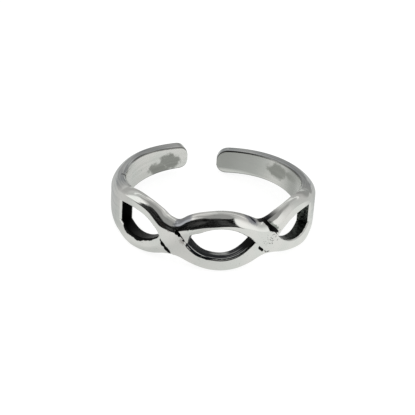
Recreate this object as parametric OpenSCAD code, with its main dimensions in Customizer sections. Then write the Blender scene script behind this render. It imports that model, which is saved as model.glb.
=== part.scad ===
// Adjustable toe ring, cast in one piece: two strands cross twice over the front and leave
// three pierced windows, then join in the shoulders of a plain band that is open at the back.
// The ring lies on its side, with the middle of the weave towards -Y. Millimetres and degrees.

/* [Toe hole] */
// Diameter of the round hole for the toe
bore_d = 15.2; // [12:0.1:20]
// Angle from the middle of the weave back to the end of the left arm
left_reach = 166.5; // [140:0.5:174]
// Angle from the middle of the weave back to the end of the right arm
right_reach = 173; // [140:0.5:174]

/* [Band] */
// Thickness of the metal at the middle of the weave
front_thick = 1.35; // [0.9:0.05:2.2]
// Thickness of the metal at the sides of the ring
side_thick = 1.3; // [0.9:0.05:2]
// Thickness of the metal at the two open ends
end_thick = 1.15; // [0.8:0.05:1.8]
// Height of the plain band near its open ends
end_height = 2.3; // [1.4:0.1:3.4]
// How far the end of the right arm has been bent down
right_dip = 0.6; // [0:0.05:1]
// How far the end of the left arm has been bent up
left_rise = 0.15; // [0:0.05:0.6]

/* [Weave] */
// Height of the ring over the middle loop of the weave
weave_height = 5.15; // [4:0.05:7]
// Width of a strand along the loops
strand_width = 1.15; // [0.8:0.05:1.6]
// Width of a strand where it crosses the other one
crossing_width = 1.75; // [1.2:0.05:2.2]
// Angle from the middle of the weave to each crossing
cross_angle = 26.5; // [20:0.5:32]
// Angle from the middle of the weave to the blunt end of each side window
window_angle = 69; // [60:0.5:76]
// How far the upper strand stands out, and the lower one sinks, at a crossing
over_lift = 0.12; // [0.02:0.01:0.25]

/* [Profile] */
// Thickness left at the rounded rims, as a share of the full thickness
rim_share = 0.53; // [0.3:0.01:0.8]
// Thickness left at the window edges, as a share of the full thickness
sill_share = 0.8; // [0.5:0.01:0.95]

/* [Hidden] */

bore_r = bore_d / 2;

// Angles: the strands are modelled out to the join, in the middle of each side window.
join_angle = (cross_angle + window_angle) / 2;
strand_step = 2.5;
band_step = 4.5;
slope_reach = 0.5;

// Middle line of the strand that rides high at the sides and low in front.
// Rows: angle from the middle towards the crossing, then from the crossing to the window end
// (1 to 2), height as a share of the loops, width from loop (0) to crossing (1).
strand_rows = [
    [0.00, -1.00, 0.00],
    [0.45, -0.79, 0.20],
    [1.00,  0.00, 1.00],
    [1.16,  0.40, 0.42],
    [1.32,  0.69, 0.12],
    [1.49,  0.86, 0.00],
    [1.73,  0.91, 0.00],
    [2.00,  0.75, 0.00],
];
loop_rise = (weave_height - strand_width) / 2;

// Taper of the band's height. Rows: share of the arm, share of the step from end to shoulder.
taper_rows = [
    [0.00, 1.00],
    [0.11, 0.79],
    [0.31, 0.28],
    [0.60, 0.03],
    [1.00, 0.00],
];

// Rounding of the outer surface, as the powers of a squared-off ellipse
height_power = 0.75;
depth_power = 0.62;
// Points over the outer surface of one strand, and the angle between them
outer_points = 9;
outer_step = 180 / (outer_points - 1);

// The inner side of every section stands inside the hole, which the bore then cuts clean.
bore_margin = 0.4;

// The outside falls to the sill's share over this distance round a side window's blunt end.
dip_reach = 0.9;

// The two halves of the plain band meet in a hidden flat, at this share of its half height,
// which is reached after a third of the arm.
seam_share = 0.25;
seam_settled = 1 / 3;

// The arms bend up or down from here to their ends.
bend_start = 90;
// Share of the band's height that is left at the tip of its rounded end
end_flat = 0.15;
end_stations = 4;
// The inner edge of an open end is broken by this much.
end_break = 0.15;

// The ring rests on the middle loop and on the end of the lower arm.
rest_drop = weave_height / 2 - end_height / 2 - right_dip;
rest_span = 2 * bore_r + (front_thick + end_thick) * rim_share;
rest_tilt = atan(rest_drop / rest_span);
rest_lift = (weave_height / 2) * cos(rest_tilt)
    - (bore_r + rim_share * front_thick) * sin(rest_tilt);

function mix(a, b, s) = a + (b - a) * s;
function clamped(x) = min(max(x, 0), 1);
function eased(x) = let (s = clamped(x)) s * s * (3 - 2 * s);
function powered(x, p) = sign(x) * pow(abs(x), p);

// Smooth curve through column c of a table, at the value u of its first column
function segment(rows, u, i = 0) =
    i >= len(rows) - 2 || u < rows[i + 1][0] ? i : segment(rows, u, i + 1);
function gradient(rows, i, c) =
    i == 0 ? 0 :
    let (j = min(i + 1, len(rows) - 1))
    (rows[j][c] - rows[i - 1][c]) / (rows[j][0] - rows[i - 1][0]);
function along(rows, u, c) =
    let (
        i = segment(rows, u),
        a = rows[i],
        b = rows[i + 1],
        span = b[0] - a[0],
        s = clamped((u - a[0]) / span),
        ga = gradient(rows, i, c) * span,
        gb = gradient(rows, i + 1, c) * span
    )
    a[c] * (1 + 2 * s) * (1 - s) * (1 - s) + ga * s * (1 - s) * (1 - s)
        + b[c] * s * s * (3 - 2 * s) - gb * s * s * (1 - s);

// Thickness of the metal at angle t
function thickness(t) =
    let (a = abs(t))
    a < bend_start
        ? mix(front_thick, side_thick, eased(a / bend_start))
        : mix(side_thick, end_thick, eased((a - bend_start) / (180 - bend_start)));

// Place along the strand's table at angle t, its height and its width across the slope
function table_place(t) =
    let (a = abs(t))
    a < cross_angle
        ? a / cross_angle
        : 1 + (a - cross_angle) / (window_angle - cross_angle);
function strand_z(t) = loop_rise * along(strand_rows, table_place(t), 1);
function strand_slope(t) =
    (strand_z(abs(t) + slope_reach) - strand_z(abs(t) - slope_reach))
        / (2 * slope_reach * (bore_r + front_thick) * PI / 180);
function strand_half(t) =
    mix(strand_width, crossing_width, along(strand_rows, table_place(t), 2)) / 2
        * sqrt(1 + pow(strand_slope(t), 2));

// Over and under: the strand stands out at the left crossing and sinks at the right one.
function bump(x) = abs(x) < join_angle - cross_angle
    ? pow(cos(90 * x / (join_angle - cross_angle)), 2)
    : 0;
function lift(t) = over_lift * (bump(t + cross_angle) - bump(t - cross_angle));

// Thickness of the metal over a strand at the angle p of its section (-90 below, 90 above),
// with the shares that are left at its lower and upper edges
function strand_share(p, low, high) =
    let (edge = p < 0 ? low : high)
    edge + (1 - edge) * pow(cos(p), depth_power);
// The same over the full height of the band, at a share q of its half height
function band_share(q) =
    rim_share + (1 - rim_share)
        * pow(max(1 - pow(abs(q), 2 / height_power), 0), depth_power / 2);

// Section of a strand at angle t as [radius, height] points, from its lower outer edge over
// the top and back along the inside
function strand_section(t) =
    let (
        z = strand_z(t),
        half = strand_half(t),
        up = clamped((1 + z / loop_rise) / 2),
        low = mix(rim_share, sill_share, up),
        high = mix(sill_share, rim_share, up)
    )
    concat(
        [for (i = [0 : outer_points - 1])
            let (p = -90 + i * outer_step)
            [
                bore_r + thickness(t) * strand_share(p, low, high) + lift(t),
                z + half * powered(sin(p), height_power),
            ]],
        inner_side(z - half, z + half, -bore_margin)
    );
function inner_side(low, high, offset) = [
    [bore_r + offset, high],
    [bore_r + offset, low],
];

// Upper half of the shoulder and the band behind it. Up to the window's end it changes from
// the strand's own section to a share of the band's full section.
window_half = strand_z(window_angle) - strand_half(window_angle);
shoulder_half = strand_z(window_angle) + strand_half(window_angle);
function arm_share(t, reach) = clamped((t - window_angle) / (reach - window_angle));
function end_round(t, reach) =
    let (
        left = (reach - t) * (PI / 180) * (bore_r + end_thick / 2),
        s = clamped(1 - left / (end_height / 2))
    )
    sqrt(max(1 - s * s, end_flat * end_flat));
function band_half(t, reach) =
    mix(end_height / 2, shoulder_half, along(taper_rows, arm_share(t, reach), 1))
        * end_round(t, reach);
function split_half(t, reach) =
    band_half(t, reach)
        * mix(window_half / shoulder_half, seam_share, eased(arm_share(t, reach) / seam_settled));
function window_dip(t, above) =
    let (behind = max(t - window_angle, 0) * (PI / 180) * (bore_r + side_thick))
    (1 - sill_share) * (1 - eased(norm([above, behind]) / dip_reach));
function shoulder_section(t, reach) =
    let (
        inside = t > window_angle,
        high = inside ? band_half(t, reach) : strand_z(t) + strand_half(t),
        low = inside ? split_half(t, reach) : strand_z(t) - strand_half(t),
        own = strand_section(t),
        s = eased((t - join_angle) / (window_angle - join_angle))
    )
    concat(
        [for (i = [0 : outer_points - 1])
            let (
                p = -90 + i * outer_step,
                z = mix(low, high, (1 + powered(sin(p), height_power)) / 2),
                full = bore_r + thickness(t) * (band_share(z / high) - window_dip(t, z - low))
            )
            [s < 1 ? mix(own[i][0], full, s) : full, z]],
        inner_side(low, high, t < reach ? -bore_margin : end_break)
    );

// Points of one section, turned to angle t. The lower half mirrors the upper one.
function turned(section, t, rise = 0) =
    [for (q = section) [q[0] * sin(t), -q[0] * cos(t), q[1] + rise]];
function mirrored(section) = [for (q = section) [q[0], -q[1]]];

// Faces between two rings of n points that start at a and b
function skin(a, b, n) = [for (k = [0 : n - 1])
    let (m = (k + 1) % n)
    each [[a + k, b + m, b + k], [a + k, a + m, b + m]]];
function fan(a, n) = [for (k = [1 : n - 2]) [a, a + k, a + k + 1]];
function flipped(faces) = [for (f = faces) [f[2], f[1], f[0]]];

section_points = outer_points + 2;

// One strand, from join to join across the front
module strand() {
    count = ceil(2 * join_angle / strand_step);
    points = [for (i = [0 : count])
        let (t = mix(-join_angle, join_angle, i / count))
        each turned(strand_section(t), t)];
    faces = concat(
        [for (i = [0 : count - 1])
            each skin(i * section_points, (i + 1) * section_points, section_points)],
        flipped(fan(0, section_points)),
        fan(count * section_points, section_points)
    );
    polyhedron(points, faces);
}

// One shoulder with its arm: two stubs meet the strands at the joins, run together at the
// window's end and go on as a plain band to the open end. side is 1 on the right.
module arm(side, reach, rise) {
    fork_count = ceil((window_angle - join_angle) / strand_step);
    round_angle = end_height / 2 / (bore_r + end_thick / 2) * 180 / PI;
    band_count = ceil((reach - round_angle - window_angle) / band_step);
    n = section_points;
    stations = concat(
        [for (i = [0 : fork_count]) mix(join_angle, window_angle, i / fork_count)],
        [for (i = [1 : band_count])
            mix(window_angle, reach - round_angle, i / band_count)],
        [for (i = [1 : end_stations])
            reach - round_angle * (1 - sin(90 * i / end_stations))]
    );
    last = len(stations) - 1;
    points = [for (t = stations)
        let (
            upper = shoulder_section(t, reach),
            bend = rise * pow(clamped((t - bend_start) / (reach - bend_start)), 2)
        )
        each concat(turned(upper, side * t, bend), turned(mirrored(upper), side * t, bend))];
    // One ring round both halves: up the upper half, then back down the lower one
    loop = concat([for (k = [0 : n - 1]) k], [for (k = [n - 1 : -1 : 0]) n + k]);
    function fork_faces(i) =
        let (a = i * 2 * n, b = a + 2 * n)
        concat(skin(a, b, n), flipped(skin(a + n, b + n, n)));
    function band_faces(i) =
        let (a = i * 2 * n, b = a + 2 * n)
        [for (k = [0 : 2 * n - 1])
            let (p = loop[k], q = loop[(k + 1) % (2 * n)])
            each [[a + p, b + q, b + p], [a + p, a + q, b + q]]];
    function ring_fan(a) = [for (k = [1 : 2 * n - 2]) [a + loop[0], a + loop[k], a + loop[k + 1]]];
    sill = fork_count * 2 * n;
    faces = concat(
        flipped(fan(0, n)),
        fan(n, n),
        [for (i = [0 : fork_count - 1]) each fork_faces(i)],
        [[sill, sill + 2 * n - 1, sill + n - 1], [sill, sill + n, sill + 2 * n - 1]],
        [for (i = [fork_count : last - 1]) each band_faces(i)],
        ring_fan(last * 2 * n)
    );
    polyhedron(points, side > 0 ? faces : flipped(faces));
}

module ring() {
    color("silver")
    translate([0, 0, rest_lift])
    rotate([-rest_tilt, 0, 0])
    difference() {
        union() {
            strand();
            rotate([0, 180, 0])
            strand();
            arm(-1, left_reach, left_rise);
            arm(1, right_reach, -right_dip);
        }
        cylinder(r = bore_r, h = 3 * weave_height, center = true, $fn = 96);
    }
}

ring();
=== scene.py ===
# %% [markdown]
# # An oxidised silver toe ring
#
# The real ring is one casting. Two strands weave over the front and leave three pierced windows,
# then run together in the shoulders of a plain band with an open back. The caster polished the
# outside and left black oxide where the wheel could not reach.
#
# A ring like this could be pushed out of a subdivided cage, or carved from a tube with boolean
# cuts. Here each part of it is swept along its own path instead, because the weave follows a rule:
# a strand is a section that travels round the finger while it rises and falls. The sweeps meet
# point for point, so the polished faces have no seams that a reflection would show.

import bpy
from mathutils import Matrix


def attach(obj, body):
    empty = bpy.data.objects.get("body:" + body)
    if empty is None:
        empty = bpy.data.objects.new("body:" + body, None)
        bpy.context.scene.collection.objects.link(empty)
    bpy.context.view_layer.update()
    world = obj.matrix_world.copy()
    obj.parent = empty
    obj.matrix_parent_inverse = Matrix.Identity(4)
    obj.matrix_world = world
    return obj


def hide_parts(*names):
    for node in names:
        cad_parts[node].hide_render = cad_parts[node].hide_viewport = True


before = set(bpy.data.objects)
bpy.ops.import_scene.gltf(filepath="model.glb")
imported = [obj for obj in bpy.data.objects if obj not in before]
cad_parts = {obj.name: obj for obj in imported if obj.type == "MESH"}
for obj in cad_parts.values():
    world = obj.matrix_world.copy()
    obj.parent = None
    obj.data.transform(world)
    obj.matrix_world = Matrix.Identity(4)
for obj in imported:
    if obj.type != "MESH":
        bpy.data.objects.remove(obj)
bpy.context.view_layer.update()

# %% Tools for the lesson
import math

import bmesh
import bpy
import numpy as np
from mathutils import Matrix, Vector
from mathutils.kdtree import KDTree

# %% [markdown]
# ## The sizes
#
# The casting was designed in millimetres, so the script works in millimetres as well and changes
# to metres once, when a mesh is finished. The values repeat those of the part's own source: the
# looks may be finer than the solid, but they keep its dimensions. Angles go round the toe hole,
# from the middle of the weave, and grow towards the ring's right side.

# %% Sizes of the ring, in millimetres and degrees
MM = 0.001
BORE_R = 7.6
FRONT_METAL, SIDE_METAL, END_METAL = 1.35, 1.3, 1.15
WEAVE_HEIGHT = 5.15
STRAND_WIDTH, CROSSING_WIDTH = 1.15, 1.75
CROSS_ANGLE, WINDOW_ANGLE = 26.5, 69.0
LEFT_LIFT, RIGHT_LIFT = 0.06, 0.12
RIM_SHARE = 0.53
END_HEIGHT, END_FLAT = 2.3, 0.3
END_EDGE_R = 0.15
BEND_START = 90.0
RIGHT_BEND = -0.6
LOOP_RISE = (WEAVE_HEIGHT - STRAND_WIDTH) / 2
JOIN_ANGLE = (CROSS_ANGLE + WINDOW_ANGLE) / 2

# %% [markdown]
# ## Two arms that aren't twins
#
# The caster finished the two arms by hand, so the lower right one is longer and is bent down
# further, and the left one is fuller behind its shoulder and squarer at its tip. A table keeps
# what differs, and one function makes both.

# %% Table of the arms and the rest pose
# side, reach, how far the end is bent up, height of the end, how square its corners are, share
# of the metal that its rim keeps, angle where the rim starts to widen, how much fuller it is
# behind the shoulder
ARMS = {
    "left": (-1, 166.2, -0.08, 2.13, 3.0, 0.9, 110.0, 0.25),
    "right": (1, 173.0, RIGHT_BEND, END_HEIGHT, 2.4, 0.6, 88.0, 0.0),
}
ARM_DROP = WEAVE_HEIGHT / 2 - END_HEIGHT / 2 + RIGHT_BEND
REST_TILT = math.atan(ARM_DROP / (2 * BORE_R + (FRONT_METAL + END_METAL) * RIM_SHARE))
REST_LIFT = WEAVE_HEIGHT / 2 * math.cos(REST_TILT) - (
    BORE_R + RIM_SHARE * FRONT_METAL
) * math.sin(REST_TILT)
AT_REST = Matrix.Translation((0, 0, REST_LIFT * MM)) @ Matrix.Rotation(-REST_TILT, 4, "X")
print(f"tilt at rest {math.degrees(REST_TILT):.2f} degrees, lifted {REST_LIFT:.3f} mm")

# %% [markdown]
# ## Smooth curves through short tables
#
# A goldsmith's drawing gives a few stations and a fair curve through them. The two tables do the
# same: one for the middle line of a strand, one for the taper of the band. A cubic through the rows
# keeps the direction from row to row, and a light smoothing after it keeps the bend itself smooth,
# because polished metal shows a sudden change of bend as a broken highlight.

# %% Tables of the strand and of the taper
# angle from the middle (0) to the crossing (1) and on to the window's end (2),
# height as a share of the loops, width from loop (0) to crossing (1)
STRAND_ROWS = (
    (0.00, -1.00, 0.00),
    (0.45, -0.79, 0.20),
    (1.00, 0.00, 1.00),
    (1.16, 0.40, 0.42),
    (1.32, 0.69, 0.12),
    (1.49, 0.86, 0.00),
    (1.73, 0.91, 0.00),
    (2.00, 0.75, 0.00),
)
# share of the arm, share of the step from the open end to the shoulder
TAPER_ROWS = ((0.00, 1.00), (0.11, 0.79), (0.31, 0.28), (0.60, 0.03), (1.00, 0.00))


def along(rows, place, column):
    """A cubic curve through one column of a table."""
    rows = np.array(rows)
    x, y = rows[:, 0], rows[:, column]
    slope = np.zeros(len(x))
    slope[1:-1] = (y[2:] - y[:-2]) / (x[2:] - x[:-2])
    slope[-1] = (y[-1] - y[-2]) / (x[-1] - x[-2])
    i = np.clip(np.searchsorted(x, place, side="right") - 1, 0, len(x) - 2)
    span = x[i + 1] - x[i]
    s = np.clip((place - x[i]) / span, 0, 1)
    return (
        y[i] * (1 + 2 * s) * (1 - s) ** 2
        + slope[i] * span * s * (1 - s) ** 2
        + y[i + 1] * s * s * (3 - 2 * s)
        - slope[i + 1] * span * s * s * (1 - s)
    )


def eased(x):
    """A soft step from 0 to 1 while x goes from 0 to 1."""
    x = np.clip(x, 0, 1)
    return x * x * (3 - 2 * x)


def bump(t, centre, reach):
    """A smooth hill, 1 at the centre and 0 beyond its reach."""
    return np.cos(np.pi / 2 * np.clip((t - centre) / reach, -1, 1)) ** 2


def faired(values, passes=12):
    """Rounds off the changes of bend that a table leaves, with both ends held."""
    values = np.array(values, float)
    for _ in range(passes):
        values[1:-1] = (values[:-2] + 2 * values[1:-1] + values[2:]) / 4
    return values


# %% Shape of the ring as functions of the angle
def metal(t):
    """Thickness of the metal."""
    a = np.abs(t)
    front = FRONT_METAL + (SIDE_METAL - FRONT_METAL) * eased(a / BEND_START)
    back = SIDE_METAL + (END_METAL - SIDE_METAL) * eased((a - BEND_START) / (180 - BEND_START))
    return np.where(a < BEND_START, front, back)


def table_place(t):
    """Where an angle lies in the strand's table."""
    a = np.abs(t)
    return np.where(
        a < CROSS_ANGLE, a / CROSS_ANGLE, 1 + (a - CROSS_ANGLE) / (WINDOW_ANGLE - CROSS_ANGLE)
    )


def strand_height(t):
    """Height of the middle of the strand that dips in front."""
    return LOOP_RISE * along(STRAND_ROWS, table_place(t), 1)


def strand_half(t):
    """Half of the strand's height, measured straight up and down."""
    reach = 0.5
    rise = strand_height(np.abs(t) + reach) - strand_height(np.abs(t) - reach)
    slope = rise / (2 * reach * (BORE_R + FRONT_METAL) * math.pi / 180)
    share = along(STRAND_ROWS, table_place(t), 2)
    return (STRAND_WIDTH + (CROSSING_WIDTH - STRAND_WIDTH) * share) / 2 * np.sqrt(1 + slope**2)


def crossing_lift(t):
    """The strand stands out at the left crossing and sinks at the right one."""
    reach = JOIN_ANGLE - CROSS_ANGLE
    return LEFT_LIFT * bump(t, -CROSS_ANGLE, reach) - RIGHT_LIFT * bump(t, CROSS_ANGLE, reach)


SHOULDER_HALF = float(strand_height(WINDOW_ANGLE) + strand_half(WINDOW_ANGLE))
WINDOW_HALF = float(strand_height(WINDOW_ANGLE) - strand_half(WINDOW_ANGLE))
SPLIT = WINDOW_HALF / SHOULDER_HALF
print(f"shoulder {2 * SHOULDER_HALF:.2f} mm high, side window {2 * WINDOW_HALF:.2f} mm at its end")

# %% [markdown]
# ## What the file did
#
# No hand-finished ring is even. Its rims are a tenth of a millimetre fuller here and flatter there,
# and the middle window was opened up towards its left end, which is blunt. Sculpting could copy
# that, but a table of soft hills is easier to change and adds straight to the strand's edges.

# %% Where the rims were filed or left full
# edge, angle, reach to either side, amount in mm
FILED = (
    ("top", -31.0, 6.0, -0.12), ("top", -25.5, 5.5, -0.18), ("top", -19.0, 12.0, 0.11),
    ("top", 33.0, 11.0, 0.13), ("low", -30.0, 22.0, 0.13), ("low", 26.0, 9.0, -0.08),
    ("low", 46.0, 22.0, -0.26), ("window top", -16.5, 6.0, 0.26),
    ("window bottom", -14.0, 11.0, 0.15), ("crossing", -30.5, 6.5, 0.33),
)
# the blunt end of the middle window: where it is, and the height that its foot comes down to
BLUNT_AT, BLUNT_FOOT = -17.2, -0.5
# rims that meet in a V are filled up while they are less than this apart
V_FILLET = 1.6


def filed(t, edge):
    """What the file took or left along one edge."""
    return sum(amount * bump(t, at, reach) for side, at, reach, amount in FILED if side == edge)


def v_fillet(t):
    """How much fuller the rims are where two of them meet in a V."""
    apart = 2 * np.abs(strand_height(t))
    return np.maximum(V_FILLET - apart, 0) ** 2 / (4 * V_FILLET)


print(f"{len(FILED)} filed places, V fillet {float(v_fillet(CROSS_ANGLE)):.2f} mm at a crossing")

# %% [markdown]
# ## One way to make nodes, and arithmetic that makes them
#
# Node trees are easier to read as sums than as lists of links. `Tree.add` is the one way to make a
# node: its type, then the settings that decide which sockets it has, then a value or a link for
# each socket. `Value` wraps a socket, so that an expression such as `1 - share * depth` adds the
# Math nodes itself. The same two classes serve the shape of the ring and its finish.


# %% Helpers for node trees
class Value:
    """A socket that takes part in sums. Each operation adds one Math node."""

    def __init__(self, tree, socket):
        self.tree, self.socket = tree, socket

    def math(self, operation, *others):
        return self.tree.math(operation, self, *others)

    def __add__(self, other):
        return self.math("ADD", other)

    def __sub__(self, other):
        return self.math("SUBTRACT", other)

    def __mul__(self, other):
        return self.math("MULTIPLY", other)

    def __truediv__(self, other):
        return self.math("DIVIDE", other)

    def __pow__(self, other):
        return self.math("POWER", other)

    def __neg__(self):
        return self.math("MULTIPLY", -1.0)

    def __radd__(self, other):
        return self.tree.math("ADD", other, self)

    def __rsub__(self, other):
        return self.tree.math("SUBTRACT", other, self)

    def __rmul__(self, other):
        return self.tree.math("MULTIPLY", other, self)

    def __rtruediv__(self, other):
        return self.tree.math("DIVIDE", other, self)

    def clamped(self):
        return self.math("MAXIMUM", 0.0).math("MINIMUM", 1.0)

    def mixed(self, low, high):
        """low where this is 0, high where it is 1, and a blend between."""
        return low + self * (high - low)

    def stepped(self, start, end):
        """A soft step from 0 at start to 1 at end."""
        settings = {"interpolation_type": "SMOOTHSTEP"}
        sockets = {"Value": self, "From Min": start, "From Max": end}
        return self.tree.value("ShaderNodeMapRange", settings, sockets, "Result")


class Tree:
    """Adds nodes to one node tree."""

    def __init__(self, tree):
        self.tree = tree

    def add(self, kind, settings=None, sockets=None):
        node = self.tree.nodes.new(kind)
        for name, value in (settings or {}).items():
            setattr(node, name, value)
        for name, value in (sockets or {}).items():
            socket = self.find(node, name)
            if isinstance(value, Value):
                self.tree.links.new(value.socket, socket)
            else:
                socket.default_value = value
        return node

    @staticmethod
    def find(node, name):
        if isinstance(name, int):
            return node.inputs[name]
        for socket in node.inputs:
            if name in (socket.identifier, socket.name) and socket.enabled:
                return socket
        raise KeyError(f"{node.bl_idname} has no socket {name}")

    def value(self, kind, settings=None, sockets=None, output=0):
        return Value(self, self.add(kind, settings, sockets).outputs[output])

    def math(self, operation, *numbers):
        return self.value("ShaderNodeMath", {"operation": operation}, dict(enumerate(numbers)))

    def noise(self, place, size_mm, detail, roughness):
        """A cloudy pattern, about 0 to 1, whose clouds are size_mm across."""
        scale = 1 / (size_mm * MM)
        sockets = {"Vector": place, "Scale": scale, "Detail": detail, "Roughness": roughness}
        return self.value("ShaderNodeTexNoise", sockets=sockets)

    def blend(self, cover, under, over):
        """One colour over another, with a cover from 0 to 1."""
        kind = {"data_type": "RGBA", "blend_type": "MIX"}
        node = self.add("ShaderNodeMix", kind, {"Factor_Float": cover, "A_Color": under, "B_Color": over})
        return Value(self, next(o for o in node.outputs if o.identifier == "Result_Color"))


# %% [markdown]
# ## The sections that travel
#
# A strand's section is a closed loop: over the outside, across the flat rim, round the small inner
# edge and back along the toe hole. Each point of it is stored as shares: how far across the section
# it lies, how deep in the metal, how far out and how far in the small inner edge sets it, and
# whether it follows the upper edge. A section can then stretch along its path without moving its
# points out of order. The band's section holds the points of the upper and the lower strand and
# fills the stretch between them, so the three loops meet point for point at the end of a side
# window.

# %% Points of the two sections
bow = np.sin(np.radians(np.linspace(-90, 90, 31)))
# over the outside, closer together towards both rims
OUTSIDE = np.sign(bow) * np.abs(bow) ** 0.75
FLAT = (0.8, 0.55, 0.25, 0.0)
CORNER = np.radians((22.5, 45.0, 67.5))
INSIDE = np.linspace(1, -1, 9)
MIDDLE_POINTS = 11


def upper_side(window_side):
    """Rows of (across, depth, round, inset, upper): outside, rim, inner edge, inside."""
    rows = [(q, 1.0, 1.0, 0.0, 1.0) for q in OUTSIDE]
    rows += [(1.0, depth, 1.0, 0.0, 1.0) for depth in FLAT]
    rows += [(1.0, 0.0, 1 - math.sin(a), 1 - math.cos(a), 1.0) for a in CORNER]
    rows += [(q, 0.0, 0.0, q, float(q > 0)) for q in INSIDE]
    if window_side:
        rows += [(-1.0, 0.0, 1 - math.cos(a), math.sin(a) - 1, 0.0) for a in CORNER]
        rows += [(-1.0, depth, 1.0, 0.0, 0.0) for depth in reversed(FLAT)]
    return rows


def band_side():
    """The band's loop: the middle of the outside, the upper side, the inside, the lower side."""
    upper = [
        (SPLIT + (1 - SPLIT) * (1 + q) / 2, depth, turn, inset, rim)
        for q, depth, turn, inset, rim in upper_side(False)
    ]
    lower = [(-q, depth, turn, -inset, 0.0) for q, depth, turn, inset, _ in reversed(upper)]
    middle = np.linspace(-1, 1, MIDDLE_POINTS)[1:-1]
    outside = [(SPLIT * q, 1.0, 1.0, 0.0, 0.0) for q in middle]
    inside = [(-SPLIT * q, 0.0, 0.0, q, 0.0) for q in middle]
    return outside + upper + inside + lower


def point_cloud(name, rows, columns):
    """A mesh of loose points that only carries named numbers."""
    mesh = bpy.data.meshes.new(name)
    mesh.from_pydata([(i * MM, 0, 0) for i in range(len(rows))], [], [])
    for column, values in zip(columns, np.array(rows, float).T):
        mesh.attributes.new(column, "FLOAT", "POINT").data.foreach_set("value", values)
    return bpy.data.objects.new(name, mesh)


SECTION_COLUMNS = ("across", "depth", "round", "inset", "upper")
strand_section = point_cloud("strand section", upper_side(True), SECTION_COLUMNS)
band_section = point_cloud("band section", band_side(), SECTION_COLUMNS)
for section in (strand_section, band_section):
    print(section.name, len(section.data.vertices), "points")

# %% [markdown]
# ## The paths
#
# A path is a row of stations round the finger, and each station carries what the section needs
# there: its lower and upper edge, the thickness of the metal, the height of the whole ring, and how
# round each edge is. Both strands take their outside from one barrel over the ring's whole height,
# so they lie flush where they cross, and the rims run into each other in a soft V. The second strand
# is the first one turned half round about the front axis.

# %% Sizes of the rims, the crown and the small roundings
STATION_COLUMNS = (
    "turn", "low", "high", "metal", "low_outline", "high_outline", "low_soft", "high_soft",
    "low_edge", "high_edge", "crown", "low_rim", "high_rim", "lift", "inner_lift", "drop",
    "sill", "behind", "dip", "end_soft",
)
# share of the half height over which the metal keeps its full thickness, and how it varies along
# the strand: angle, reach, amount
WEAVE_CROWN, BAND_CROWN = 0.55, 0.25
CROWN_ROWS = ((-45, 20, -0.3), (45, 20, -0.3), (-20, 13, -0.22), (6, 13, 0.06))
# share of the metal that is left at the upper and the lower rim
TOP_RIM, LOW_RIM = 0.3, 0.72
RIM_EDGE_R, EDGE_R = 0.2, 0.09
# rounding of a window's edge, and the blunt end where it is larger: angle, reach, how much
WINDOW_SOFT = 0.15
BLUNT_SOFT = (-17.5, 11.0, 1.6)
# dip round the side windows: share of the metal, reach, and the angles where it sets in
SIDE_DIP, DIP_REACH = 0.14, 0.9
DIP_FROM, DIP_RUN = 30.0, 14.0
# height over which a strand changes from the lower to the upper one
CHANGE_OVER = 0.7
# half openings of a window where its dip and its soft edge set in, and over what run
DIP_OPEN, DIP_OPEN_RUN = 0.02, 0.25
SOFT_OPEN, SOFT_OPEN_RUN = -0.35, 0.4
# steps between stations in degrees, and a step that keeps two inner faces apart
STRAND_STEP, BAND_STEP = 0.6, 0.9
HIDDEN_STEP = 0.03


def window_dip(t):
    """How much the outside falls towards the edge of a window, as a share of the metal."""
    return SIDE_DIP * eased((np.abs(t) - DIP_FROM) / DIP_RUN)


# %% Stations of a strand
def strand_path(turned):
    """Stations of a strand from window end to window end. turned is the half turn."""
    t = np.linspace(-WINDOW_ANGLE, WINDOW_ANGLE, 2 * round(WINDOW_ANGLE / STRAND_STEP) + 1)
    z, half, lift = faired(strand_height(t)), faired(strand_half(t)), crossing_lift(t)
    if turned:
        z, lift = -z, -lift
    fillet = v_fillet(t)
    outer_top, outer_low = eased(2 * z / CHANGE_OVER + 1), eased(1 - 2 * z / CHANGE_OVER)
    high = z + half + outer_top * (fillet + filed(t, "top"))
    low = z - half - outer_low * (fillet + filed(t, "low"))
    outline = np.abs(z) + half + fillet
    high_outline, low_outline = outline + filed(t, "top"), outline + filed(t, "low")
    sill = np.abs(z) - half
    one = np.ones(len(t))
    dip = window_dip(t) * eased((sill - DIP_OPEN) / DIP_OPEN_RUN)
    crown = WEAVE_CROWN + sum(amount * bump(t, at, reach) for at, reach, amount in CROWN_ROWS)
    open_here = eased((sill - SOFT_OPEN) / SOFT_OPEN_RUN)
    low_soft, high_soft = (1 - outer_low) * open_here, (1 - outer_top) * open_here
    if turned:
        low = low + filed(t, "window top")
        low = low + eased(BLUNT_AT - t) * np.minimum(BLUNT_FOOT - low, 0)
    else:
        high = high - filed(t, "window bottom")
        low = low - filed(t, "crossing")
        at, reach, amount = BLUNT_SOFT
        high_soft = high_soft * (1 + amount * bump(t, at, reach))
    inner = HIDDEN_STEP * eased(2 - np.abs(z) / half) * float(turned)
    return np.column_stack(
        (t, low, high, metal(t), low_outline, high_outline, low_soft, high_soft,
         EDGE_R * one, EDGE_R + (RIM_EDGE_R - EDGE_R) * outer_top, crown,
         LOW_RIM * one, TOP_RIM * one, lift, inner, 0 * one, sill, 0 * one, dip, 0 * one)
    )


# %% Stations of an arm
TIP_STATIONS = 15
# share of the metal that the tip loses, and the half height below which its edges shrink
TIP_THINNING, FULL_EDGE_HALF = 0.07, 0.65
# degrees over which the weave's crown and rims settle into the band's, and the rim widens
SETTLE_RUN, RIM_RUN = 40.0, 60.0
# angle and reach of the fuller stretch, of its lower rim and of its rounder inner edge
FULLER_AT, LOWER_RIM_AT, ROUNDER_EDGE_AT = (120.0, 50.0), (104, 30), (98, 26)


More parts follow.
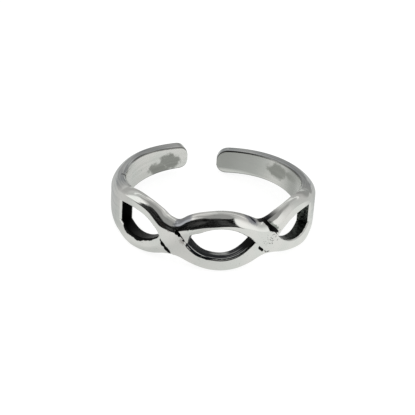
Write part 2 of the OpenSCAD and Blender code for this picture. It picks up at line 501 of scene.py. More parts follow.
def arm_path(side, reach, bend, end_height, square, end_rim, rim_from, fuller):
    """Stations of the band from the window's end to the rounded open end."""
    end_half = end_height / 2
    round_angle = math.degrees(end_half / (BORE_R + END_METAL / 2))
    straight = np.arange(WINDOW_ANGLE, reach - round_angle, BAND_STEP)
    quarter = np.radians(np.linspace(0, 90, TIP_STATIONS))
    t = np.concatenate((straight, reach - round_angle * (1 - np.sin(quarter))))
    share = np.clip((t - WINDOW_ANGLE) / (reach - WINDOW_ANGLE), 0, 1)
    half = end_half + (SHOULDER_HALF - end_half) * along(TAPER_ROWS, share, 1)
    half = half + fuller * bump(t, *FULLER_AT)
    left = np.radians(reach - t) * (BORE_R + END_METAL / 2)
    s = np.clip(1 - left / end_half, 0, 1)
    half = half * np.maximum(1 - s**square, END_FLAT**square) ** (1 / square)
    one = np.ones(len(t))
    thick = metal(t) * (1 - TIP_THINNING * s**4)
    narrow = np.minimum(1, half / FULL_EDGE_HALF)
    settled = eased((t - WINDOW_ANGLE) / SETTLE_RUN)
    crown = WEAVE_CROWN + (BAND_CROWN - WEAVE_CROWN) * settled
    low_rim = LOW_RIM + (end_rim - LOW_RIM) * settled
    high_rim = TOP_RIM + (end_rim - TOP_RIM) * eased((t - rim_from) / RIM_RUN)
    high_rim = high_rim - fuller / 2 * bump(t, *LOWER_RIM_AT)
    low_edge = EDGE_R + (END_EDGE_R - EDGE_R) * settled
    high_edge = RIM_EDGE_R + (END_EDGE_R - RIM_EDGE_R) * settled
    high_edge = high_edge + fuller * bump(t, *ROUNDER_EDGE_AT)
    drop = bend * np.clip((t - BEND_START) / (reach - BEND_START), 0, 1) ** 2
    drop = drop + fuller / 2 * bump(t, *FULLER_AT)
    behind = np.radians(t - WINDOW_ANGLE) * (BORE_R + 1)
    return np.column_stack(
        (side * t, -half, half, thick, half, half, 0 * one, 0 * one,
         low_edge * narrow, high_edge * narrow, crown, low_rim, high_rim,
         0 * one, 0 * one, drop, WINDOW_HALF * one, behind, SIDE_DIP * one, one)
    )


print(len(strand_path(False)), "stations in a strand")

# %% [markdown]
# ## The sweep, in Geometry Nodes
#
# A Curve to Mesh node would sweep one fixed section, but this section changes its height, its
# thickness and its crest all the way. So the tree lays out a grid with a row of points for each
# station, reads the station's and the section's numbers back by index, and puts each point where
# the sums say. The group's inputs are the few sizes that hold for the whole ring.

# %% Geometry Nodes: sweep a section along its stations
SWEEP_SIZES = {
    "Toe hole radius": BORE_R,
    "Top roundness": 2.0,
    "Bottom roundness": 4.0,
    "Window edge radius": WINDOW_SOFT,
    "Reach of a dip": DIP_REACH,
}
# how much of a strand's lift is gone at its rim, the smallest rounding, and a welding distance
LIFT_FADE = 0.9
LEAST_SOFT = 0.0001
WELD = 0.0001


def new_group():
    """An empty node group with the sweep's inputs and its output."""
    group = bpy.data.node_groups.new("sweep a ring section", "GeometryNodeTree")
    face = group.interface
    face.new_socket("Geometry", in_out="INPUT", socket_type="NodeSocketGeometry")
    face.new_socket("Section", in_out="INPUT", socket_type="NodeSocketObject")
    for name, size in SWEEP_SIZES.items():
        socket = face.new_socket(name, in_out="INPUT", socket_type="NodeSocketFloat")
        socket.default_value = size
    face.new_socket("Finish", in_out="INPUT", socket_type="NodeSocketMaterial")
    face.new_socket("Geometry", in_out="OUTPUT", socket_type="NodeSocketGeometry")
    return group


def sweep_tree():
    group = new_group()
    tree = Tree(group)
    given = tree.add("NodeGroupInput")
    size = {name: Value(tree, given.outputs[name]) for name in SWEEP_SIZES}
    stations = Value(tree, given.outputs["Geometry"])
    section = {"Object": Value(tree, given.outputs["Section"])}
    section = tree.value("GeometryNodeObjectInfo", None, section, "Geometry")

    def count(points):
        kind = {"component": "MESH"}
        return tree.value("GeometryNodeAttributeDomainSize", kind, {0: points}, "Point Count")

    around = count(section)
    rows = {"Vertices X": count(stations), "Vertices Y": around + 1}
    grid = tree.value("GeometryNodeMeshGrid", sockets=rows)
    index = tree.value("GeometryNodeInputIndex")
    station = (index / (around + 1)).math("FLOOR")
    place = (index - station * (around + 1)).math("MODULO", around)

    def read(points, name, at):
        kind = {"data_type": "FLOAT"}
        value = tree.value("GeometryNodeInputNamedAttribute", kind, {"Name": name})
        sockets = {"Geometry": points, "Value": value, "Index": at}
        return tree.value("GeometryNodeSampleIndex", {**kind, "domain": "POINT"}, sockets)

    s = {name: read(stations, name, station) for name in STATION_COLUMNS}
    p = {name: read(section, name, place) for name in SECTION_COLUMNS}

    # the barrel: full thickness over the crown, then a rounding to the rim on either side
    z = s["low"] + (s["high"] - s["low"]) * (p["across"] + 1) * 0.5
    top = z.math("GREATER_THAN", 0.0)
    share = (z.math("ABSOLUTE") / top.mixed(s["low_outline"], s["high_outline"])).clamped()
    run = ((share - s["crown"]) / (1 - s["crown"])).clamped()
    power = top.mixed(size["Bottom roundness"], size["Top roundness"])
    rim = top.mixed(s["low_rim"], s["high_rim"])
    barrel = rim + (1 - rim) * (1 - run**power).clamped() ** 0.5

    # a gentle dip round each window, and the small rounding of its edge
    beside = (z.math("ABSOLUTE") - s["sill"]).math("MAXIMUM", 0.0)
    away = (beside * beside + s["behind"] * s["behind"]) ** 0.5
    dip = s["dip"] * away.stepped(size["Reach of a dip"], 0.0)

    def softened(distance, amount):
        radius = size["Window edge radius"] * amount
        left = 1 - (distance / radius.math("MAXIMUM", LEAST_SOFT)).clamped()
        return radius * (1 - (1 - left * left) ** 0.5)

    soft = softened(z - s["low"], s["low_soft"]) + softened(s["high"] - z, s["high_soft"])
    soft = soft + softened(away, s["end_soft"])

    # the inner edge never rises above the outside, where the rim is low
    outer = s["metal"] * (barrel - dip) + s["lift"] * (1 - LIFT_FADE * run) - soft
    edge = p["upper"].mixed(s["low_edge"], s["high_edge"])
    start = (s["inner_lift"] + edge * p["round"]).math("MINIMUM", outer)
    radius = size["Toe hole radius"] + start + p["depth"] * (outer - start)
    height = z - p["inset"] * edge + s["drop"]
    turn = s["turn"] * (math.pi / 180)
    spot = {
        "X": radius * turn.math("SINE") * MM,
        "Y": radius * turn.math("COSINE") * -MM,
        "Z": height * MM,
    }
    spot = tree.value("ShaderNodeCombineXYZ", sockets=spot)
    steps = (
        ("GeometryNodeSetPosition", {"Geometry": grid, "Position": spot}),
        ("GeometryNodeMergeByDistance", {"Distance": WELD * MM}),
        ("GeometryNodeRealizeInstances", {}),
        ("GeometryNodeSetMaterial", {"Material": Value(tree, given.outputs["Finish"])}),
    )
    skin = grid
    for kind, sockets in steps:
        skin = tree.value(kind, sockets={"Geometry": skin, **sockets})
    tree.add("NodeGroupOutput", sockets={"Geometry": skin})
    return group


silver = bpy.data.materials.new("oxidised silver")
sweep = sweep_tree()
print(len(sweep.nodes), "nodes in the sweep")


# %% Sweep the strands and the arms
def swept(name, stations, section):
    """Runs the sweep on one path and returns plain mesh data."""
    path = point_cloud(name, stations, STATION_COLUMNS)
    bpy.context.scene.collection.objects.link(path)
    modifier = path.modifiers.new("sweep", "NODES")
    modifier.node_group = sweep
    inputs = {"Section": section, "Finish": silver, **SWEEP_SIZES}
    for item in sweep.interface.items_tree:
        if item.in_out == "INPUT" and item.name in inputs:
            modifier[item.identifier] = inputs[item.name]
    bpy.context.view_layer.update()
    seen = path.evaluated_get(bpy.context.evaluated_depsgraph_get())
    mesh = bpy.data.meshes.new_from_object(seen)
    path.modifiers.remove(modifier)
    bpy.data.objects.remove(path)
    print(name, len(mesh.vertices), "points")
    return mesh


for helper in (strand_section, band_section):
    bpy.context.scene.collection.objects.link(helper)
sweeps = [
    swept("strand that dips in front", strand_path(False), strand_section),
    swept("strand that rises in front", strand_path(True), strand_section),
]
for name, sizes in ARMS.items():
    sweeps.append(swept(f"{name} arm", arm_path(*sizes), band_section))
for helper in (strand_section, band_section):
    bpy.data.objects.remove(helper)

# %% [markdown]
# ## One closed skin
#
# The sweeps share their points where they meet, so merging those points joins them without a seam.
# What stays open is closed with flat faces: the blunt outer ends of the two side windows and the
# tips of the arms. Each window end is cut once, close to the toe hole, so that the bright finish of
# the hole ends there and doesn't creep up the black wall. The strands still run through each other
# at the crossings. An exact Boolean that unites the skin with itself removes what is inside and
# leaves a true V groove along each crossing, which a cast ring has as well.

# %% Join and close the sweeps
JOIN_WITHIN, CLEAN_WITHIN = 0.002, 0.0005
# height above the toe hole of the cut across a window's end
END_CUT = 0.05


def split_end(body, face):
    """Cuts the closed end of a side window along the toe hole and returns both its faces."""
    middle = face.calc_center_median()
    outward = Vector((middle.x, middle.y, 0)).normalized()
    cut = bmesh.ops.bisect_plane(
        body,
        geom=[face, *face.edges, *face.verts],
        plane_co=outward * (BORE_R + END_CUT) * MM,
        plane_no=outward,
    )
    return [part for part in cut["geom"] if isinstance(part, bmesh.types.BMFace)]


def joined(meshes):
    body = bmesh.new()
    for mesh in meshes:
        body.from_mesh(mesh)
        bpy.data.meshes.remove(mesh)
    bmesh.ops.remove_doubles(body, verts=body.verts, dist=JOIN_WITHIN * MM)
    open_edges = [e for e in body.edges if e.is_boundary]
    closing = bmesh.ops.holes_fill(body, edges=open_edges, sides=0)["faces"]
    faces = []
    for face in closing:
        at_tip = face.calc_center_median().y > 0
        faces += [face] if at_tip else split_end(body, face)
    bmesh.ops.poke(body, faces=faces)
    print(len(open_edges), "open edges closed by", len(closing), "faces")
    bmesh.ops.recalc_face_normals(body, faces=body.faces)
    if body.calc_volume(signed=True) < 0:
        bmesh.ops.reverse_faces(body, faces=body.faces)
    mesh = bpy.data.meshes.new("woven ring")
    body.to_mesh(mesh)
    body.free()
    return mesh


# %% Fuse the strands where they cross
def fused(mesh):
    """Unites a skin that runs through itself."""
    ring = bpy.data.objects.new("woven_ring", mesh)
    bpy.context.scene.collection.objects.link(ring)
    nothing = bpy.data.collections.new("nothing to add")
    modifier = ring.modifiers.new("fuse", "BOOLEAN")
    modifier.solver, modifier.operation, modifier.use_self = "EXACT", "UNION", True
    modifier.operand_type, modifier.collection = "COLLECTION", nothing
    bpy.context.view_layer.update()
    seen = ring.evaluated_get(bpy.context.evaluated_depsgraph_get())
    whole = bpy.data.meshes.new_from_object(seen)
    ring.modifiers.remove(modifier)
    ring.data = whole
    bpy.data.meshes.remove(mesh)
    bpy.data.collections.remove(nothing)
    return ring


ring = fused(joined(sweeps))
body = bmesh.new()
body.from_mesh(ring.data)
bmesh.ops.remove_doubles(body, verts=body.verts, dist=CLEAN_WITHIN * MM)
loose = sum(1 for e in body.edges if not e.is_manifold)
volume = body.calc_volume(signed=True) / MM**3
body.to_mesh(ring.data)
body.free()
print(f"fused: {len(ring.data.vertices)} points, volume {volume:.1f} mm3, {loose} open edges")

# %% [markdown]
# ## Where the oxide stays
#
# Black oxide survives in recesses: on the walls of the windows and in the grooves of the crossings.
# Both are measured on the mesh and stored as distances in millimetres, not painted as masks. A
# distance changes evenly over the surface, so the shader can cut it at any width with a ragged,
# noisy margin, and the cut is finer than the mesh itself. The angle, the height and the distance
# from the toe hole are stored as well, because stains and streaks are placed by them.

# %% Points of the skin, round the toe hole
spots = np.zeros(len(ring.data.vertices) * 3)
ring.data.vertices.foreach_get("co", spots)
spots = spots.reshape(-1, 3) / MM
radius = np.hypot(spots[:, 0], spots[:, 1])
angle = np.degrees(np.arctan2(spots[:, 0], -spots[:, 1]))
height = spots[:, 2]
print(f"outermost point {radius.max():.2f} mm from the axis")

# %% Distance from the windows, and depth down their walls
FINE_STEPS, FINE_PASSES = 700, 40
# a wall's points lie this close to the window's outline and this far off the toe hole
WALL_REACH, OFF_HOLE = 0.06, 0.02
# the finish of the toe hole ends over this height
HOLE_FADE_FROM, HOLE_FADE = 0.005, 0.012
fine = np.linspace(0, WINDOW_ANGLE, FINE_STEPS)
window_half = np.abs(faired(strand_height(fine), FINE_PASSES))
window_half -= faired(strand_half(fine), FINE_PASSES)
beside = np.abs(height) - np.interp(np.abs(angle), fine, window_half)
beside -= np.where(height > 0, filed(angle, "window top"), filed(angle, "window bottom"))
behind = np.radians(np.abs(angle) - WINDOW_ANGLE) * (BORE_R + 1)
corner = np.hypot(np.maximum(behind, 0), np.maximum(np.abs(height) - WINDOW_HALF, 0))
from_window = np.where(np.abs(angle) < WINDOW_ANGLE, beside, corner)
wall_top = BORE_R + metal(angle) * (1 - window_dip(angle)) - WINDOW_SOFT
on_wall = (from_window < WALL_REACH) & (radius > BORE_R + OFF_HOLE)
recess = np.where(on_wall, np.maximum(wall_top - radius, -0.3), -np.maximum(from_window, 0))
inside = np.clip(1 - (radius - BORE_R - HIDDEN_STEP - HOLE_FADE_FROM) / HOLE_FADE, 0, 1)
print(f"window walls: {int(on_wall.sum())} points")

# %% Distance from the grooves
# a groove: degrees from a crossing, height above the toe hole, fold in degrees, spacing in mm
NEAR_CROSSING, GROOVE_ABOVE, GROOVE_FOLD, GROOVE_STEP = 16, 0.15, 12, 0.03
body = bmesh.new()
body.from_mesh(ring.data)
seams = []
for edge in body.edges:
    a, b = edge.verts[0].co / MM, edge.verts[1].co / MM
    mid = (a + b) / 2
    at = abs(math.degrees(math.atan2(mid.x, -mid.y)))
    if abs(at - CROSS_ANGLE) >= NEAR_CROSSING or math.hypot(mid.x, mid.y) <= BORE_R + GROOVE_ABOVE:
        continue
    if edge.is_manifold and edge.calc_face_angle_signed() < -math.radians(GROOVE_FOLD):
        steps = max(2, math.ceil((b - a).length / GROOVE_STEP))
        seams += [a.lerp(b, i / steps) for i in range(steps + 1)]
body.free()
seam_tree = KDTree(len(seams))
for i, spot in enumerate(seams):
    seam_tree.insert(spot, i)
seam_tree.balance()
groove = np.array([seam_tree.find(spot)[2] for spot in spots])
print(f"{len(seams)} points along the grooves")

# %% Distance from the arms' upper inner edge
# the edge is followed from this far behind the windows, on faces this near to the toe hole
LIP_FROM, LIP_ABOVE = 4, 0.5
lip = np.ones(len(spots))
for side, *sizes in ARMS.values():
    path = dict(zip(STATION_COLUMNS, arm_path(1, *sizes).T))
    above = np.abs(height - np.interp(np.abs(angle), path["turn"], path["drop"]))
    under = np.interp(np.abs(angle), path["turn"], path["high"]) - above
    here = (angle * side > WINDOW_ANGLE + LIP_FROM) & (radius < BORE_R + LIP_ABOVE)
    lip = np.where(here, np.hypot(under, radius - BORE_R), lip)
print(f"{int((lip < 1).sum())} points near the edge")

# %% Store what was measured
measured = {
    "recess": recess, "groove": np.minimum(groove, 3), "inside": inside,
    "turn": angle, "rise": height, "out": radius - BORE_R, "lip": np.minimum(lip, 1),
}
for name, values in measured.items():
    ring.data.attributes.new(name, "FLOAT", "POINT").data.foreach_set("value", values)
print("stored:", ", ".join(measured))

# %% [markdown]
# ## Rest pose and smooth shading
#
# The ring lies on the middle loop of the weave and on one arm's end, so it leans a little. The lean
# goes into the mesh itself. Faces are shaded smooth, apart from the edges of the window walls and
# the grooves, which stay crisp.

# %% Lay the ring down
CRISP_ANGLE = 38
ring.data.transform(AT_REST)
for face in ring.data.polygons:
    face.use_smooth = True
ring.data.set_sharp_from_angle(angle=math.radians(CRISP_ANGLE))
ring.data.materials.clear()
ring.data.materials.append(silver)
ring.data.update()
print("ring size:", [round(x / MM, 2) for x in ring.dimensions], "mm")

# %% [markdown]
# ## Polished and oxidised silver
#
# One Principled shader covers both finishes. Polished silver is a metal with a warm, very pale
# colour and low roughness. Oxide is a thin black sulphide, a little shiny where it was rubbed. The
# stored distances plus noise decide where the oxide stays; small clouds of noise break the polish,
# and faint waves of the polishing wheel go into the bump.

# %% Read the measures back, and noise to break them up
silver.use_nodes = True
silver.node_tree.nodes.clear()
tree = Tree(silver.node_tree)
here = tree.value("ShaderNodeTexCoord", output="Object")


def stored(name):
    return tree.value("ShaderNodeAttribute", {"attribute_name": name}, output="Fac")


recess_mm, groove_mm, inside_share = stored("recess"), stored("groove"), stored("inside")
turn, rise, out_mm, lip_mm = stored("turn"), stored("rise"), stored("out"), stored("lip")
outside_share = 1 - inside_share
ragged = tree.noise(here, 0.5, 4, 0.6) - 0.5
fine_noise = tree.noise(here, 0.16, 3, 0.6) - 0.5
torn = (tree.noise(here, 0.8, 4, 0.65) - 0.5) * 1.2
cloud = tree.noise(here, 2.2, 3, 0.55)
mottled = tree.noise(here, 0.3, 3, 0.7)

# %% Patches, hills and lines on the surface
# millimetres on the outside for each degree round the toe hole
ARC = math.radians(BORE_R + 1.2)


def patch(at, level, wide, tall, lean):
    """How far inside an oval a point lies, in mm: angle, height, half sizes, lean in degrees."""
    across, up = (turn - at) * ARC, rise - level
    c, s = math.cos(math.radians(lean)), math.sin(math.radians(lean))
    u, v = across * (c / wide) + up * (s / wide), up * (c / tall) - across * (s / tall)
    return (1 - (u * u + v * v) ** 0.5) * tall


def mark(oval, ragged_mm, start, end):
    """A cover in the form of an oval whose ragged margin fades in from start to end."""
    return (patch(*oval) + fine_noise * ragged_mm).stepped(start, end)


def strongest(covers):
    """The largest of several covers."""
    total = 0.0
    for cover in covers:
        total = cover.math("MAXIMUM", total)
    return total


def field(rows):
    """Adds up soft hills. Rows: angle, height, reach in mm, amount in mm."""
    total = 0.0
    for at, level, reach, amount in rows:
        across, up = (turn - at) * (ARC / reach), (rise - level) / reach
        total = total + (across * across + up * up).stepped(1.0, 0.0) * amount
    return total


def lines(along_scale, across, across_scale):
    """Fine lines that run round the finger, about 0 to 1."""
    place = {"X": turn * along_scale, "Y": across * across_scale, "Z": 0.0}
    place = tree.value("ShaderNodeCombineXYZ", sockets=place)
    return tree.value("ShaderNodeTexNoise", sockets={"Vector": place, "Scale": 1.0, "Detail": 3.0})


brushed = lines(0.02, rise, 4.0)
wall_lines = lines(0.12, recess_mm, 9.0)
rim_lines = lines(0.05, out_mm, 7.0)
print(len(silver.node_tree.nodes), "nodes so far")

# %% [markdown]
# ## The oxide's outline
#
# The black on a window's wall ends just under its edge. In a few places it ran over that edge or
# was polished further back, and a table of soft hills moves the margin there; two of the hills lay a
# thin black line along the upper edge of the middle window, partly its oxide border and partly
# painted shadow. The grooves hold a thin line whose width changes in the same way. Single patches
# and casting pits come last. Inside the ring, where the skin rubs against a toe, no oxide stays.

# %% Where the oxide lies
# where the oxide runs over the edge of a window, and two rows (9.5 and 16.5 degrees) that lay a thin line
# of partly painted shadow along the middle window's upper edge: angle, height, reach, by how much
SPILLS_AND_SHADOW_LINE = (
    (-62.0, -1.1, 1.0, 0.14), (-55.0, -1.2, 1.6, 0.28), (-46.0, -1.0, 1.3, 0.20),
    (-38.0, -0.55, 0.9, 0.18), (-16.5, -0.75, 1.1, 0.17), (-12.0, -1.15, 1.5, 0.10),
    (0.0, -1.45, 2.0, 0.10), (13.0, -0.95, 1.5, 0.08), (16.5, 0.3, 0.8, 0.16),
    (9.5, 1.1, 1.2, 0.12), (62.0, -1.1, 1.6, 0.06),
)
# how wide it lies in the grooves, in the same columns
GROOVES = (
    (-25.2, 0.80, 0.4, 0.13), (-23.6, 0.50, 0.42, 0.27), (-20.6, 0.05, 0.30, 0.13),
    (-18.2, -0.45, 0.35, 0.17), (-33.2, -0.60, 0.45, 0.24), (-31.0, -0.90, 0.5, 0.26),
    (-28.6, -1.20, 0.45, 0.24), (24.8, 1.42, 0.5, 0.10), (28.0, 1.05, 0.7, 0.20),
    (31.5, 0.60, 0.7, 0.18), (18.0, -0.25, 0.4, 0.14), (21.8, -0.80, 0.45, 0.34),
    (24.0, -1.15, 0.35, 0.16),
)
# single patches: angle, height, half length, half width, lean
PATCHES = (
    (28.9, 1.02, 1.05, 0.19, -41.0), (23.6, 1.76, 0.3, 0.10, -30.0), (26.4, -1.02, 0.2, 0.07, 0.0),
)
PITTED = (27.8, 0.1, 1.3, 1.1, 0.0)
wall_black = (recess_mm + field(SPILLS_AND_SHADOW_LINE) + ragged * 0.22 + fine_noise * 0.1).stepped(0.02, 0.05)
groove_black = (groove_mm + 0.06 + fine_noise * 0.16 - field(GROOVES)).stepped(0.01, -0.02)
pits = (tree.noise(here, 0.11, 1, 0.4) + patch(*PITTED).clamped() * 0.18).stepped(0.74, 0.8)
spots_black = [mark(oval, 0.06, 0.0, 0.04) for oval in PATCHES]
black = strongest([wall_black, groove_black, *spots_black, pits * 0.7]) * outside_share
print(len(SPILLS_AND_SHADOW_LINE), "spills,", len(GROOVES), "places in the grooves,", len(PATCHES), "patches")

# %% [markdown]
# ## Grey patches, painted shade and streaks on the bright metal
#
# The bright metal is not the same everywhere. Soft grey patches lie inside both arms, painted shade
# darkens the inner side of the right arm, and lines run along the outside of the band: lines of the
# polishing wheel, and painted reflection on the rims. A thin line of painted shade runs along the
# arms' inner edge. Every one of them is a cover from 0 to 1, so that they can be laid over the silver
# one after the other.

# %% Grey patches, painted shade and streaks
# grey patches inside the arms: angle, height, half length, half width, lean
GREY_PATCHES = (
    (-153.0, -0.2, 1.4, 0.85, 10.0), (-144.5, -0.85, 1.85, 0.8, 13.0), (124.0, 0.15, 1.8, 0.85, -6.0),
    (111.5, 0.4, 1.6, 0.5, -8.0), (-126.0, -0.1, 0.2, 0.2, 0.0),
)
grey_patches = strongest([(patch(*oval) + torn).stepped(-0.06, 0.32) for oval in GREY_PATCHES])
grey_patches = grey_patches * brushed.mixed(0.75, 1.15) * inside_share
# painted shade inside the right arm, mostly at its tip and near the shoulder, less along its lower edge:
# angle, reach, amount
INNER_SHADE_ZONES = ((174, 24, 0.7), (150, 34, 0.75), (104, 28, 1.0))
painted_inner_shade = 0.0
for at, reach, amount in INNER_SHADE_ZONES:
    painted_inner_shade = painted_inner_shade + ((turn - at) / reach).math("ABSOLUTE").stepped(1.0, 0.0) * amount
bright_edge = rise.stepped(-1.05, -1.35) * turn.stepped(120, 140)
painted_inner_shade = painted_inner_shade.clamped() * (1 - 0.75 * bright_edge) * inside_share
# streaks along the outside of the arms: polish lines, with painted reflection on the rims; fewer near the
# left tip, which leaves a painted highlight there
on_arm = turn.math("ABSOLUTE").stepped(66, 84) * outside_share
arm_lines = out_mm.stepped(0.95, 1.1).mixed(rim_lines, brushed)
streaks_and_rim_reflection = on_arm * arm_lines.stepped(0.38, 0.66).mixed(0.3, 0.9)
streaks_and_rim_reflection = streaks_and_rim_reflection * turn.stepped(-166, -150).mixed(0.15, 1)
# a thin line of painted shade along the arms' upper inner edge
painted_edge_shade = (lip_mm + fine_noise * 0.05).stepped(0.135, 0.10) * rim_lines.mixed(0.5, 1.2)

# %% [markdown]
# ## Films and small marks beside the weave
#
# Where the acid ran thin it left films instead of black: brown beside the left crossing, blue grey
# on the rims, green beside the right one. They are ovals with a ragged margin, like the patches of
# oxide. On the rim beside the right V a black streak of painted dark reflection runs, with a
# polished line next to it.

# %% Films and marks
# angle, height, half length, half width, lean
BLUE_FILMS = (
    (17.0, 1.98, 0.75, 0.34, -36.0), (12.5, 2.5, 1.2, 0.16, -14.0), (-22.0, 1.55, 1.0, 0.5, 30.0),
)
brown_film = mark((-32.5, 1.02, 1.0, 0.12, -28.0), 0.12, 0.0, 0.06)
blue_film = strongest([mark(oval, 0.2, -0.02, 0.16) for oval in BLUE_FILMS])
green_film = mark((30.4, 1.1, 0.85, 0.2, -41.0), 0.3, 0.0, 0.1)
slash = mark((17.4, 1.94, 0.5, 0.08, -42.0), 0.04, 0.0, 0.03)
worn = mark((-20.8, -0.02, 0.34, 0.26, -50.0), 0.4, 0.0, 0.15)
edge_mark = mark((-92.5, 1.45, 0.22, 0.3, 0.0), 0.12, 0.0, 0.05) * out_mm.stepped(0.5, 0.4)
# a black streak of painted dark reflection on the rim beside the right V, fading out along the rim
beside_v = turn.stepped(20.5, 22.5) * rise.stepped(0.9, 1.1) * outside_share
painted_dark_reflection = ((out_mm - 0.5 + (turn - 24) * 0.02) / 0.3).math("ABSOLUTE").stepped(1.0, 0.75)
painted_dark_reflection = painted_dark_reflection * beside_v * turn.stepped(41, 29)

# %% Lay them over the silver
SILVER, GREENISH = (0.91, 0.90, 0.875, 1), (0.84, 0.86, 0.83, 1)
LAYERS = (
    (cloud.stepped(0.35, 0.7), GREENISH),
    (brushed.stepped(0.35, 0.7) * inside_share * 0.3, (0.66, 0.68, 0.63, 1)),
    (streaks_and_rim_reflection, (0.46, 0.49, 0.52, 1)),
    (painted_inner_shade, (0.40, 0.41, 0.39, 1)),
    (grey_patches, (0.34, 0.35, 0.325, 1)),
    (edge_mark, (0.02, 0.02, 0.02, 1)),
    (brown_film, (0.13, 0.11, 0.10, 1)),
    (blue_film * 0.8, (0.27, 0.28, 0.32, 1)),
    (slash, (0.03, 0.03, 0.05, 1)),
    (green_film * 0.85, (0.2, 0.23, 0.2, 1)),
    (painted_dark_reflection, (0.02, 0.022, 0.025, 1)),
    (worn * 0.6, (0.36, 0.32, 0.30, 1)),
    (painted_edge_shade * 0.85, (0.09, 0.09, 0.085, 1)),
)
metal_colour = SILVER
for cover, colour in LAYERS:
    metal_colour = tree.blend(cover, metal_colour, colour)
print(len(LAYERS), "layers on the silver")

# %% [markdown]
# ## The oxide itself
#
# Not all the black is black. The wall of the left window is, but the right window's is mottled grey
# green, and the lower wall of the middle window has bright lines of painted highlight that run
# along it. Each line has its depth under the edge and its ends.

# %% Colours of the oxide
OXIDE, BLUE_OXIDE = (0.004, 0.004, 0.004, 1), (0.012, 0.014, 0.019, 1)
PAINTED_HIGHLIGHT, GREY_GREEN = (0.85, 0.87, 0.85, 1), (0.22, 0.25, 0.225, 1)
# painted highlight lines: depth under the edge and half width in mm, from angle, to angle, how bright
WALL_HIGHLIGHTS = (
    (0.06, 0.06, -17.0, -8.5, 1.5), (0.15, 0.06, -7.0, 3.0, 0.7), (0.12, 0.05, 3.0, 14.0, 1.0),
    (0.33, 0.07, 4.0, 12.0, 0.3), (0.62, 0.10, 3.0, 12.0, 0.28), (0.92, 0.32, -5.0, 5.0, 0.55),
    (0.80, 0.40, -16.0, 11.0, 0.05),
)
right_window, right_end_wall = turn.stepped(38, 46), turn.stepped(67.5, 68.5)
middle_window = turn.stepped(-22, -18) * turn.stepped(30, 26) * rise.stepped(0.6, 0.0)
wall_highlight = 0.0
for depth, half, start, end, bright in WALL_HIGHLIGHTS:
    profile = ((recess_mm - depth) / half).math("ABSOLUTE").stepped(1.0, 0.3)
    ends = turn.stepped(start - 2, start + 2) * turn.stepped(end + 2, end - 2)
    wall_highlight = wall_highlight + profile * ends * bright
wall_highlight = wall_highlight * wall_lines.stepped(0.36, 0.62).mixed(0.45, 1.15) * middle_window
grey_green = right_window * mottled.stepped(0.34, 0.66) * right_end_wall.mixed(0.35, 0.9)
oxide_colour = tree.blend(middle_window * turn.stepped(15, 11), OXIDE, BLUE_OXIDE)
oxide_colour = tree.blend(wall_highlight.clamped(), oxide_colour, PAINTED_HIGHLIGHT)
oxide_colour = tree.blend(grey_green, oxide_colour, GREY_GREEN)
# the lines counted here are painted highlights on the wall
print(len(WALL_HIGHLIGHTS), "rubbed lines")

# %% Gloss, waves of the polish, and the shader
POLISH, OXIDE_ROUGHNESS = 0.05, 0.38
satin = inside_share * 0.16 + brown_film * 0.3
roughness = black.mixed(POLISH + 0.05 * cloud + satin, OXIDE_ROUGHNESS)
waves = tree.noise(here, 1.6, 2, 0.5) * 0.5 + tree.noise(here, 0.12, 2, 0.5) * 0.03
waves = {"Strength": 0.12, "Distance": 0.2 * MM, "Height": waves - black * 0.1}
surface = {
    "Base Color": tree.blend(black, metal_colour, oxide_colour),
    "Metallic": 1.0,
    "Roughness": roughness,
    "Normal": tree.value("ShaderNodeBump", sockets=waves),
}
surface = tree.value("ShaderNodeBsdfPrincipled", sockets=surface)
tree.add("ShaderNodeOutputMaterial", sockets={"Surface": surface})
print(len(silver.node_tree.nodes), "nodes in the silver")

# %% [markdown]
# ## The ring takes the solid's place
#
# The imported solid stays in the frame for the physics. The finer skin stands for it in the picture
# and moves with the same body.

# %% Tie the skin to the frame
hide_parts("ring")
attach(ring, "root")

# %% [markdown]
# ## Floor, light and camera
#
# Silver shows what stands round it, so jewellery is shot in a white tent. The tent here is the
# world: pale all round, with one darker opening in front, where the camera looks in. Only
# reflections see that opening and the paper's soft shadow; the floor itself looks evenly white.

# %% Pale floor
BLACK = (0, 0, 0, 1)
bpy.ops.mesh.primitive_plane_add(size=2.0)
floor = bpy.context.object
floor.name = "floor"
paper = bpy.data.materials.new("white paper")
paper.use_nodes = True
paper.node_tree.nodes.clear()
tree = Tree(paper.node_tree)
seen_in_metal = tree.value("ShaderNodeLightPath", output="Is Glossy Ray")
spot = {0: tree.value("ShaderNodeTexCoord", output="Object")}
spot = tree.add("ShaderNodeSeparateXYZ", sockets=spot)
right, back = (Value(tree, spot.outputs[i]) * (1 / MM) for i in range(2))
away = (right * right + back * back) ** 0.5
azimuth = right.math("ARCTAN2", -back) * (180 / math.pi)

# what the metal sees: paler to the right, darker beside the ring and dark under the opening
beyond = azimuth.stepped(-88, -83) * azimuth.stepped(28, 24) * away.stepped(30, 40)
beside_ring = right.stepped(8, 11) * back.stepped(-2, 2)
paper_light = (0.56 + 0.2 * right.stepped(-9, 9)) * (1 - 0.3 * beside_ring)
paper_light = paper_light + 0.13 * right.stepped(-6, -9) * back.stepped(-1, -5)
paper_light = paper_light * (1 - 0.98 * beyond)
reflected = tree.blend(paper_light, BLACK, (0.99, 1.0, 0.98, 1))
reflected = tree.value("ShaderNodeEmission", sockets={"Color": reflected})

matt = tree.value("ShaderNodeBsdfDiffuse", sockets={"Color": (0.3, 0.3, 0.3, 1)})
glow = tree.value("ShaderNodeEmission", sockets={"Strength": 0.8})
direct = tree.value("ShaderNodeAddShader", sockets={0: matt, 1: glow})
face = {0: seen_in_metal, 1: direct, 2: reflected}
face = tree.value("ShaderNodeMixShader", sockets=face)
tree.add("ShaderNodeOutputMaterial", sockets={"Surface": face})
floor.data.materials.append(paper)
print("floor:", floor.dimensions[:2])

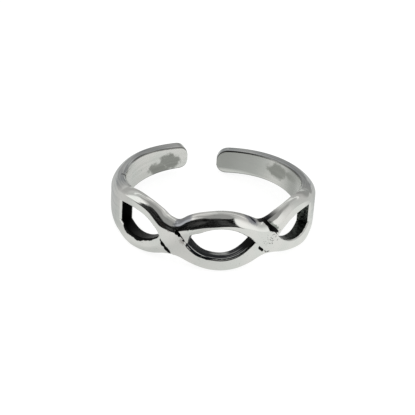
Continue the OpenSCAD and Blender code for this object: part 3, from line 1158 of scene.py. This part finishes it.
# %% White tent: directions and walls
world = bpy.data.worlds.new("white tent")
bpy.context.scene.world = world
world.use_nodes = True
world.node_tree.nodes.clear()
tree = Tree(world.node_tree)
direction = tree.value("ShaderNodeTexCoord", output="Generated")
parts = tree.add("ShaderNodeSeparateXYZ", sockets={0: direction})
right, back, up = (Value(tree, parts.outputs[i]) for i in range(3))
azimuth = right.math("ARCTAN2", -back) * (180 / math.pi)
elevation = up.math("ARCSINE") * (180 / math.pi)

left_tent = azimuth.stepped(-108, -128).mixed(0.95, 0.5) * elevation.stepped(44, 56).mixed(1, 0.6)
left_tent = left_tent * (azimuth.stepped(-86, -82) * elevation.stepped(30, 38)).mixed(1, 0.35)
right_tent = azimuth.stepped(45, 110).mixed(0.92, 0.53)
tent = azimuth.stepped(-1, 1).mixed(left_tent, right_tent)
lamp_strip = elevation.stepped(34, 37) * elevation.stepped(43, 40)
back_wall = azimuth.stepped(100, 150).mixed(0.4, 0.3)
back_wall = back_wall + 0.14 * elevation.stepped(12, 26) + 0.35 * lamp_strip
side = azimuth.math("ABSOLUTE") - 10 * azimuth.stepped(1, -1)
tent = side.stepped(112, 138).mixed(tent, back_wall)
tent = elevation.stepped(56, 70).mixed(tent, 0.3)

# %% The dark opening, and the world's shader
top = azimuth.stepped(-72, -83).mixed(64, 36)
opening = azimuth.stepped(-88, -83) * right.stepped(0.48, 0.43) * (elevation - top).stepped(4, -4)
opening = opening * back.stepped(0.1, -0.1)
room = {"Vector": direction, "Scale": 2.6, "Detail": 2.0}
room = 0.005 + 0.045 * tree.value("ShaderNodeTexNoise", sockets=room).stepped(0.42, 0.7)
in_metal = tree.value("ShaderNodeLightPath", output="Is Glossy Ray")
light = in_metal.mixed(1.0, opening.mixed(tent, room))
sky = {"Color": tree.blend(light, BLACK, (1, 1, 0.985, 1))}
sky = tree.value("ShaderNodeBackground", sockets=sky)
tree.add("ShaderNodeOutputWorld", sockets={"Surface": sky})
bpy.context.scene.view_settings.view_transform = "Standard"
print(len(world.node_tree.nodes), "nodes in the tent")

# %% Camera at the photo's angle
FRAME_PX = 415
CAMERA_ELEVATION, CAMERA_TURN, CAMERA_ROLL = 27.69, 6.03, 3.63
CAMERA_DISTANCE = 113.6
PX_PER_MM = 11.411
CENTRE_PX = (213.0, 194.03)
SENSOR = 36

data = bpy.data.cameras.new("camera")
data.sensor_width = SENSOR
data.lens = SENSOR * CAMERA_DISTANCE * PX_PER_MM / FRAME_PX
data.shift_x = (FRAME_PX / 2 - CENTRE_PX[0]) / FRAME_PX
data.shift_y = (CENTRE_PX[1] - FRAME_PX / 2) / FRAME_PX
data.clip_start, data.clip_end = 0.005, 10
camera = bpy.data.objects.new("camera", data)
bpy.context.scene.collection.objects.link(camera)
look = (
    Matrix.Rotation(-math.radians(CAMERA_TURN), 4, "Z")
    @ Matrix.Rotation(math.radians(90 - CAMERA_ELEVATION), 4, "X")
    @ Matrix.Rotation(math.radians(CAMERA_ROLL), 4, "Z")
    @ Matrix.Translation((0, 0, CAMERA_DISTANCE * MM))
)
camera.matrix_world = AT_REST @ look
bpy.context.scene.camera = camera
print(f"lens {data.lens:.1f} mm, shift {data.shift_x:.4f}, {data.shift_y:.4f}")
